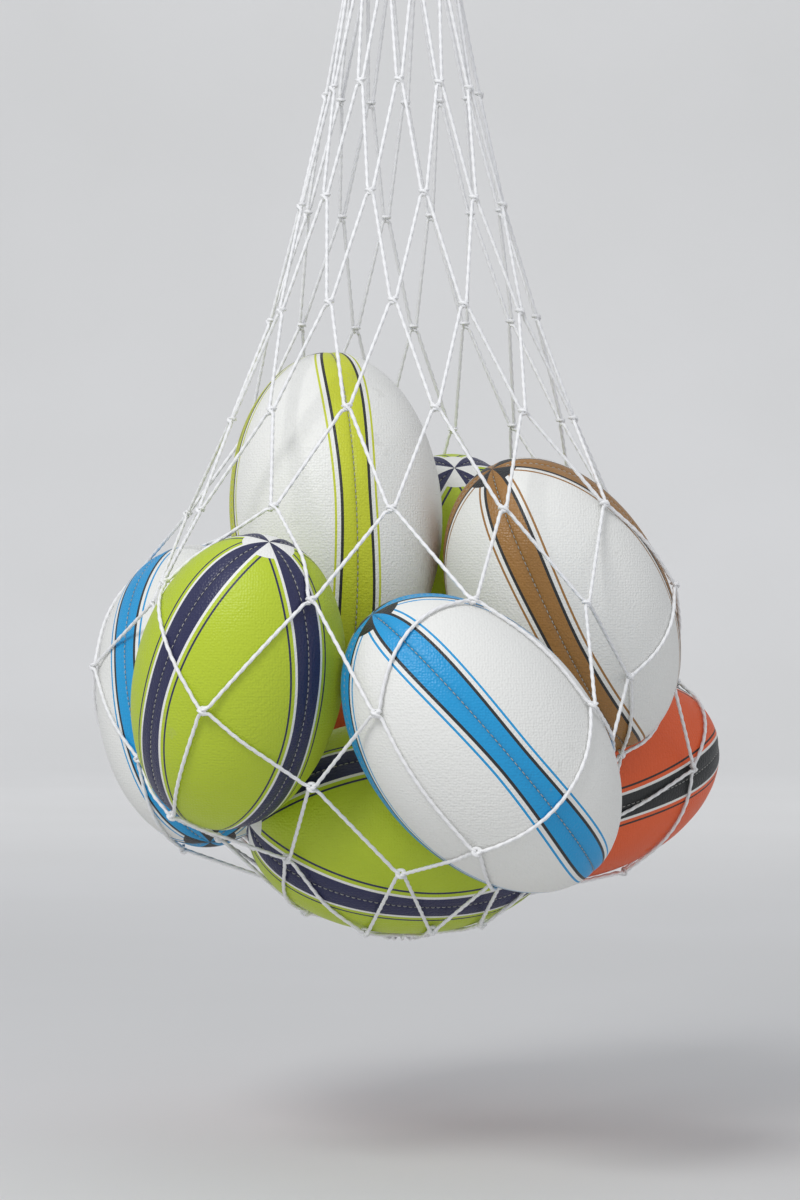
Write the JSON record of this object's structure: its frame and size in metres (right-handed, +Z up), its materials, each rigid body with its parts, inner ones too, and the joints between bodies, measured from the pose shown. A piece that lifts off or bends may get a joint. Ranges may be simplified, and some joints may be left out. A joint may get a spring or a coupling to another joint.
{
  "type": "ball net",
  "caption": "Knotted diamond-mesh cord bag, gathered on a draw cord, hung by its loop and filled with oval rugby balls.",
  "frame": {"origin": "inside top of the hanging loop, where it bears on its hook", "axes": "+Z up, the bag hangs along -Z; +X to the right and +Y to the back, seen from the front"},
  "size_m": [0.5922, 0.6779, 1.1013],
  "materials": {
    "net_cord": "twisted white polyester cord, slight sheen",
    "draw_cord": "braided white cord",
    "whipping_twine": "thin white twine",
    "bladder": "matte",
    "valve": "matte",
    "ball_1_cover": "pimpled rubber, printed in panels, satin",
    "ball_2_cover": "pimpled rubber, printed in panels, satin",
    "ball_3_cover": "pimpled rubber, printed in panels, satin",
    "ball_4_cover": "pimpled rubber, printed in panels, satin",
    "ball_5_cover": "pimpled rubber, printed in panels, satin",
    "ball_6_cover": "pimpled rubber, printed in panels, satin",
    "ball_7_cover": "pimpled rubber, printed in panels, satin",
    "ball_8_cover": "pimpled rubber, printed in panels, satin",
    "ball_9_cover": "pimpled rubber, printed in panels, satin"
  },
  "bodies": {
    "hook_loop": {"hang_loop": "draw_cord"},
    "top_knot": {"loop_knot": "draw_cord"},
    "lashing": {"mouth_lashing": "whipping_twine"},
    "bag": {"draw_cord_legs": "draw_cord", "draw_cord_ring": "draw_cord", "mouth_loops": "net_cord", "net_course_1": "net_cord", "net_course_2": "net_cord", "net_course_3": "net_cord", "net_course_4": "net_cord", "net_course_5": "net_cord", "net_course_6": "net_cord", "net_course_7": "net_cord", "net_course_8": "net_cord", "net_course_9": "net_cord", "net_course_10": "net_cord", "net_course_11": "net_cord", "net_course_12": "net_cord", "foot_loops": "net_cord", "foot_cord": "draw_cord"},
    "ball_1": {"ball_1_panels": "ball_1_cover", "ball_1_bladder": "bladder", "ball_1_valve": "valve"},
    "ball_2": {"ball_2_panels": "ball_2_cover", "ball_2_bladder": "bladder", "ball_2_valve": "valve"},
    "ball_3": {"ball_3_panels": "ball_3_cover", "ball_3_bladder": "bladder", "ball_3_valve": "valve"},
    "ball_4": {"ball_4_panels": "ball_4_cover", "ball_4_bladder": "bladder", "ball_4_valve": "valve"},
    "ball_5": {"ball_5_panels": "ball_5_cover", "ball_5_bladder": "bladder", "ball_5_valve": "valve"},
    "ball_6": {"ball_6_panels": "ball_6_cover", "ball_6_bladder": "bladder", "ball_6_valve": "valve"},
    "ball_7": {"ball_7_panels": "ball_7_cover", "ball_7_bladder": "bladder", "ball_7_valve": "valve"},
    "ball_8": {"ball_8_panels": "ball_8_cover", "ball_8_bladder": "bladder", "ball_8_valve": "valve"},
    "ball_9": {"ball_9_panels": "ball_9_cover", "ball_9_bladder": "bladder", "ball_9_valve": "valve"}
  },
  "joints": [
    {"name": "swing_sideways", "type": "hinge", "parent": "hook_loop", "child": "top_knot", "pos_m": [0, 0, -0.05], "axis": [0, 1, 0], "range_deg": [-40, 40]},
    {"name": "swing_fore_aft", "type": "hinge", "parent": "top_knot", "child": "lashing", "pos_m": [0, 0, -0.05], "axis": [1, 0, 0], "range_deg": [-40, 40]},
    {"name": "twist", "type": "hinge", "parent": "lashing", "child": "bag", "pos_m": [0, 0, -0.05], "axis": [0, 0, 1], "range_deg": [-180, 180]},
    {"name": "ball_1_turn", "type": "hinge", "parent": "bag", "child": "ball_1", "pos_m": [-0.06, -0.026, -0.705], "axis": [-0.0586, 0.145, 0.9877], "continuous": true},
    {"name": "ball_2_turn", "type": "hinge", "parent": "bag", "child": "ball_2", "pos_m": [-0.14, -0.201, -0.855], "axis": [0.2125, -0.4357, 0.8746], "continuous": true},
    {"name": "ball_3_turn", "type": "hinge", "parent": "bag", "child": "ball_3", "pos_m": [-0.186, 0.039, -0.871], "axis": [-0.0836, 0.4303, 0.8988], "continuous": true},
    {"name": "ball_4_turn", "type": "hinge", "parent": "bag", "child": "ball_4", "pos_m": [0.144, -0.043, -0.79], "axis": [-0.4406, -0.3443, 0.829], "continuous": true},
    {"name": "ball_5_turn", "type": "hinge", "parent": "bag", "child": "ball_5", "pos_m": [0.067, -0.237, -0.905], "axis": [-0.6247, -0.2398, 0.7431], "continuous": true},
    {"name": "ball_6_turn", "type": "hinge", "parent": "bag", "child": "ball_6", "pos_m": [0.004, -0.06, -0.986], "axis": [-0.9449, -0.3254, 0.0349], "continuous": true},
    {"name": "ball_7_turn", "type": "hinge", "parent": "bag", "child": "ball_7", "pos_m": [0.167, 0.136, -0.951], "axis": [0.8891, 0.3774, 0.2588], "continuous": true},
    {"name": "ball_8_turn", "type": "hinge", "parent": "bag", "child": "ball_8", "pos_m": [-0.055, 0.215, -0.977], "axis": [-0.6243, -0.6243, 0.4695], "continuous": true},
    {"name": "ball_9_turn", "type": "hinge", "parent": "bag", "child": "ball_9", "pos_m": [0.044, 0.162, -0.775], "axis": [0.0329, -0.6285, 0.7771], "continuous": true}
  ]
}
